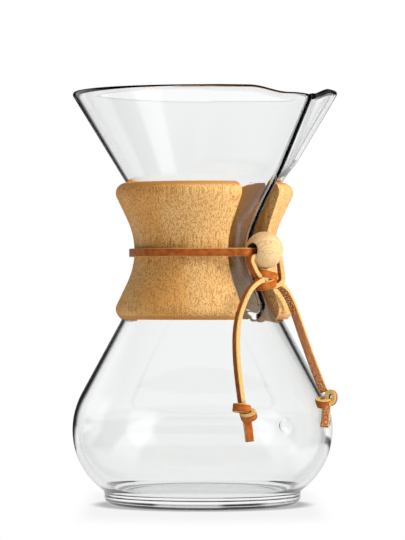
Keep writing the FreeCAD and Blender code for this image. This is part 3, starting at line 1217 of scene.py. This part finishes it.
def build_camera():
    data = bpy.data.cameras.new("view")
    data.lens = LENS
    data.sensor_width = 36.0
    data.clip_start = 0.05
    data.clip_end = 50.0
    camera = bpy.data.objects.new("view", data)
    bpy.context.collection.objects.link(camera)
    back = Vector((math.sin(VIEW_AZIMUTH), -math.cos(VIEW_AZIMUTH), 0))
    camera.location = back * CAMERA_DISTANCE + Vector((0, 0, CAMERA_HEIGHT))
    aim = Vector((0, 0, AIM_HEIGHT)) - camera.location
    camera.rotation_euler = aim.to_track_quat("-Z", "Y").to_euler()
    bpy.context.scene.camera = camera


def from_view(turn, rise=0.0):
    """Direction at an angle to the right of the camera's side, seen from above."""
    azimuth = VIEW_AZIMUTH + math.radians(turn)
    level = math.cos(math.radians(rise))
    return Vector(
        (math.sin(azimuth) * level, -math.cos(azimuth) * level, math.sin(math.radians(rise)))
    )


# Angle to the right of the camera's side, half width and soft edge in degrees, and
# strength of each upright panel that glass, wood and leather mirror.
PANELS = (
    (-58.0, 13.0, 8.0, 1.2),
    (62.0, 13.0, 10.0, 1.2),
    (-127.0, 25.0, 9.0, 0.9),
    (127.0, 20.0, 9.0, 0.2),
    (174.0, 13.0, 4.0, 0.65),
)

# White boards on the table, for the funnel: angle, cosines of their soft edges, how far
# from the vessel they begin, and strength.
BOARDS = (
    (149.0, 0.965, 0.985, 0.4, 0.9),
    (0.0, 0.2, 0.7, 0.14, 0.6),
)


def mirrored_light(shading, x, y):
    """What a mirrored ray meets in a level direction."""
    level = (x * x + y * y).maths("SQRT").maths("MAXIMUM", 0.001)
    light = 0.02
    for turn, half, soft, strength in PANELS:
        aim = from_view(turn)
        facing = (x * aim.x + y * aim.y) / level
        edges = [math.cos(math.radians(half + side * soft / 2)) for side in (1, -1)]
        light = light + shading.ramp(facing, *edges) * strength
    return light


def build_floor():
    """White where it is seen directly or through glass, save for a painted contact shadow round the
    foot and a faint painted darkening below the vessel that stands in for its reflection."""
    bm = bmesh.new()
    bmesh.ops.create_circle(bm, cap_ends=True, segments=64, radius=3.0)
    mesh = bpy.data.meshes.new("floor")
    bm.to_mesh(mesh)
    bm.free()
    floor = Finish(
        "floor",
        {"Base Color": (0.92, 0.92, 0.92, 1.0), "Roughness": 0.22, "Specular IOR Level": 0.1},
    )
    camera, through, mirrored, scattered = floor.rays(
        "Is Camera Ray", "Is Transmission Ray", "Glossy Depth", "Diffuse Depth"
    )
    straight = (1.0 - mirrored.clamped()) * (1.0 - scattered.clamped())
    place = floor.place()
    away = floor.node("ShaderNodeVectorMath", "Value", {"operation": "LENGTH"}, {0: place})
    x, y, _ = floor.split(place)
    # Painted shadow: a darker ring where the foot meets the floor. Painted reflection: a faint
    # darkening below the vessel. Both darken the white that camera rays see.
    painted_contact_shadow = floor.ramp(away, 0.040, 0.046) * (1.0 - floor.ramp(away, 0.050, 0.060))
    right = from_view(90.0)
    aside = (x * right.x + y * right.y).maths("ABSOLUTE")
    painted_reflection_shade = (1.0 - floor.ramp(away, 0.08, 0.17)) * (1.0 - floor.ramp(aside, 0.052, 0.066))
    near = 1.0 - 0.45 * painted_contact_shadow - 0.10 * painted_reflection_shade
    white = straight * camera.maths("MAXIMUM", through)
    tone = (camera * near).maths("MAXIMUM", through * 0.96)
    bounced = mirrored.clamped() * (1.0 - scattered.clamped())
    behind = from_view(180.0) * 0.12
    apart = floor.node(
        "ShaderNodeVectorMath", "Value", {"operation": "DISTANCE"}, {0: place, 1: tuple(behind)}
    )
    far = floor.ramp(apart, 0.17, 0.22)
    bounced_tone = (1.0 - far) * 0.85 + far * mirrored_light(floor, x, y)
    for turn, low, high, nearest, strength in BOARDS:
        aim = from_view(turn)
        board = floor.ramp((x * aim.x + y * aim.y) / away, low, high)
        board = board * floor.ramp(away, nearest, 1.4 * nearest)
        bounced_tone = bounced_tone + strength * board
    surface = Value(floor.tree, floor.shader.outputs[0])
    for factor, grey in ((white, tone), (bounced, bounced_tone)):
        glow = floor.node("ShaderNodeEmission", 0, inputs={"Color": grey})
        surface = floor.node("ShaderNodeMixShader", 0, inputs={0: factor, 1: surface, 2: glow})
    attach(floor.tree, floor.tree.nodes["Material Output"].inputs["Surface"], surface)
    mesh.materials.append(floor.material)
    obj = bpy.data.objects.new("floor", mesh)
    bpy.context.collection.objects.link(obj)


def build_world():
    """White where it is seen directly or straight through glass, dark with soft panels for
    mirrored rays, and an even light for the rest."""
    world = bpy.data.worlds.new("studio")
    bpy.context.scene.world = world
    world.use_nodes = True
    sky = Shading(world.node_tree)
    camera, through, mirrored, scattered = sky.rays(
        "Is Camera Ray", "Is Transmission Ray", "Glossy Depth", "Diffuse Depth"
    )
    mirrored = mirrored.clamped() * (1.0 - scattered.clamped())
    straight = (1.0 - mirrored) * (1.0 - scattered.clamped())
    white = camera.maths("MAXIMUM", through * straight)
    x, y, z = sky.split(sky.node("ShaderNodeTexCoord", "Generated"))
    right = from_view(60.0)
    even_light = 0.21 + 0.21 * (x * right.x + y * right.y) + 0.06 * z
    panels = mirrored_light(sky, x, y) * (1.0 - sky.ramp(z, 0.35, 0.6))
    unseen = mirrored * panels + (1.0 - mirrored) * even_light
    background = sky.tree.nodes["Background"]
    attach(sky.tree, background.inputs["Color"], white + (1.0 - white) * unseen)


# Angle to the right of the camera's side, elevation, distance, size and power of each lamp.
LAMPS = {
    "key": (62.0, 28.0, 1.5, 0.9, 27.0),
    "back": (172.0, 35.0, 1.5, 0.8, 12.0),
    "top": (0.0, 88.0, 1.6, 1.2, 11.0),
}


def build_lamps():
    """A large soft lamp right of the camera, a weaker one behind, and one overhead."""
    middle = Vector((0, 0, 0.12))
    for name, (turn, rise, distance, size, power) in LAMPS.items():
        data = bpy.data.lights.new(name, "AREA")
        data.size = size
        data.energy = power
        lamp = bpy.data.objects.new(name, data)
        lamp.location = middle + from_view(turn, rise) * distance
        aim = middle - lamp.location
        lamp.rotation_euler = aim.to_track_quat("-Z", "Y").to_euler()
        lamp.visible_glossy = False
        lamp.visible_transmission = False
        bpy.context.collection.objects.link(lamp)


# Operators

class BuildStep(bpy.types.Operator):
    bl_options = {"REGISTER"}

    @property
    def settings(self):
        return bpy.context.scene.coffee_maker

    def leather(self):
        if THONG_LEATHER not in bpy.data.materials:
            leather_finish(self.settings.finishes, self.settings.tie)
        return bpy.data.materials[THONG_LEATHER]


class MakeStage(BuildStep):
    """Camera, floor, lamps and world"""

    bl_idname = "coffee_maker.stage"
    bl_label = "Stage"

    def execute(self, context):
        context.scene.view_settings.view_transform = "Standard"
        build_camera()
        build_floor()
        build_world()
        build_lamps()
        return {"FINISHED"}


class MakeTails(BuildStep):
    """The two hanging tails of the thong with their stopper knots and cut ends"""

    bl_idname = "coffee_maker.tails"
    bl_label = "Thong tails"

    def execute(self, context):
        leather = self.leather()
        stoppers = {side: build_stopper(self.settings, leather, side) for side in STOPPERS}
        for side, with_pieces in stoppers.items():
            build_tail(self.settings, leather, side)
        return {"FINISHED"}


class MakeVessel(BuildStep):
    """The glass vessel with its pouring channel and level button"""

    bl_idname = "coffee_maker.vessel"
    bl_label = "Glass vessel"

    def execute(self, context):
        build_vessel(self.settings)
        return {"FINISHED"}


class MakeCollar(BuildStep):
    """The two halves of the wooden collar"""

    bl_idname = "coffee_maker.collar"
    bl_label = "Wooden collar"

    def execute(self, context):
        wood = collar_finish(self.settings.finishes, self.settings.collar)
        build_collar_half(self.settings, -1, "collar_left", "collar_half_left", wood)
        build_collar_half(self.settings, 1, "collar_right", "collar_half_right", wood)
        return {"FINISHED"}


class MakeBead(BuildStep):
    """The wooden bead"""

    bl_idname = "coffee_maker.bead"
    bl_label = "Bead"

    def execute(self, context):
        build_bead(self.settings)
        return {"FINISHED"}


class MakeTie(BuildStep):
    """The thong round the collar, its ends in the bead and its half knot"""

    bl_idname = "coffee_maker.tie"
    bl_label = "Thong and half knot"

    def execute(self, context):
        leather = self.leather()
        build_band(self.settings, leather)
        build_half_knot(self.settings, leather)
        return {"FINISHED"}


STEPS = (MakeStage, MakeTails, MakeVessel, MakeCollar, MakeBead, MakeTie)
SETTINGS = (VesselSizes, ChannelSizes, CollarSizes, TieSizes, Finishes, CoffeeMaker)


class CoffeeMakerPanel(bpy.types.Panel):
    """Lists the building steps"""

    bl_idname = "VIEW3D_PT_coffee_maker"
    bl_label = "Pour-over coffee maker"
    bl_space_type = "VIEW_3D"
    bl_region_type = "UI"
    bl_category = "Pour-over"

    def draw(self, context):
        for step in STEPS:
            self.layout.operator(step.bl_idname)


def register():
    for item in (*SETTINGS, *STEPS, CoffeeMakerPanel):
        bpy.utils.register_class(item)
    bpy.types.Scene.coffee_maker = PointerProperty(type=CoffeeMaker)


def unregister():
    del bpy.types.Scene.coffee_maker
    for item in (CoffeeMakerPanel, *reversed(STEPS), *reversed(SETTINGS)):
        bpy.utils.unregister_class(item)


def main():
    register()
    for step in STEPS:
        group, name = step.bl_idname.split(".")
        getattr(getattr(bpy.ops, group), name)()


if __name__ == "__main__":
    main()
